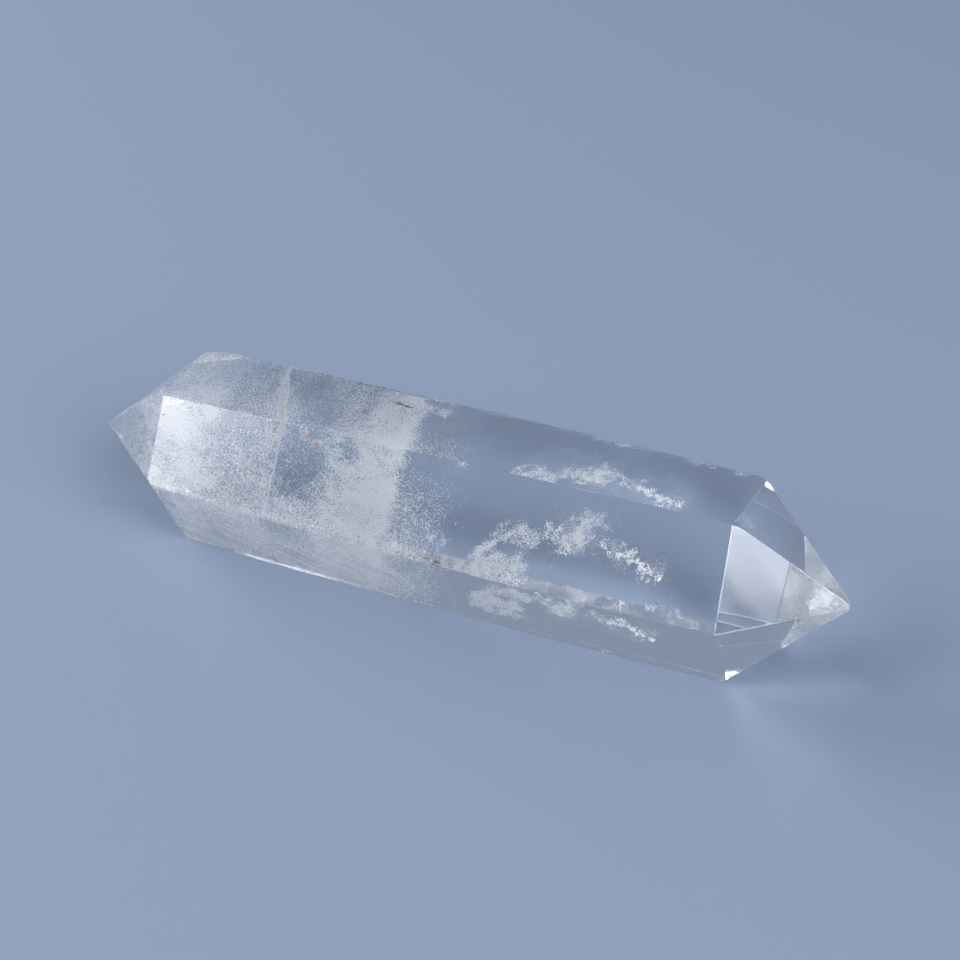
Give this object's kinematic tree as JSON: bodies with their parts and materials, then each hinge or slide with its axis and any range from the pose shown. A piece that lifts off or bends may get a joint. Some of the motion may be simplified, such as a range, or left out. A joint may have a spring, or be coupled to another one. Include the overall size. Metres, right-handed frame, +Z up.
{
  "type": "quartz crystal",
  "caption": "Clear quartz crystal, cut and polished as a long hexagonal prism with a pyramid point at each end, lying on one long face; cloudy veils inside, worn tips and small edge chips.",
  "frame": {"origin": "on the surface that the crystal lies on, under the middle of its box", "axes": "+X along the crystal's length, towards its clear end; +Z up, out of the top long face; +Y across, to the back"},
  "size_m": [0.08, 0.02, 0.017],
  "materials": {
    "quartz": "polished, clear and colourless",
    "veil": "matt white, healed cracks and tiny bubbles inside the clear quartz"
  },
  "bodies": {
    "root": {"quartz_crystal": "quartz"}
  },
  "joints": []
}
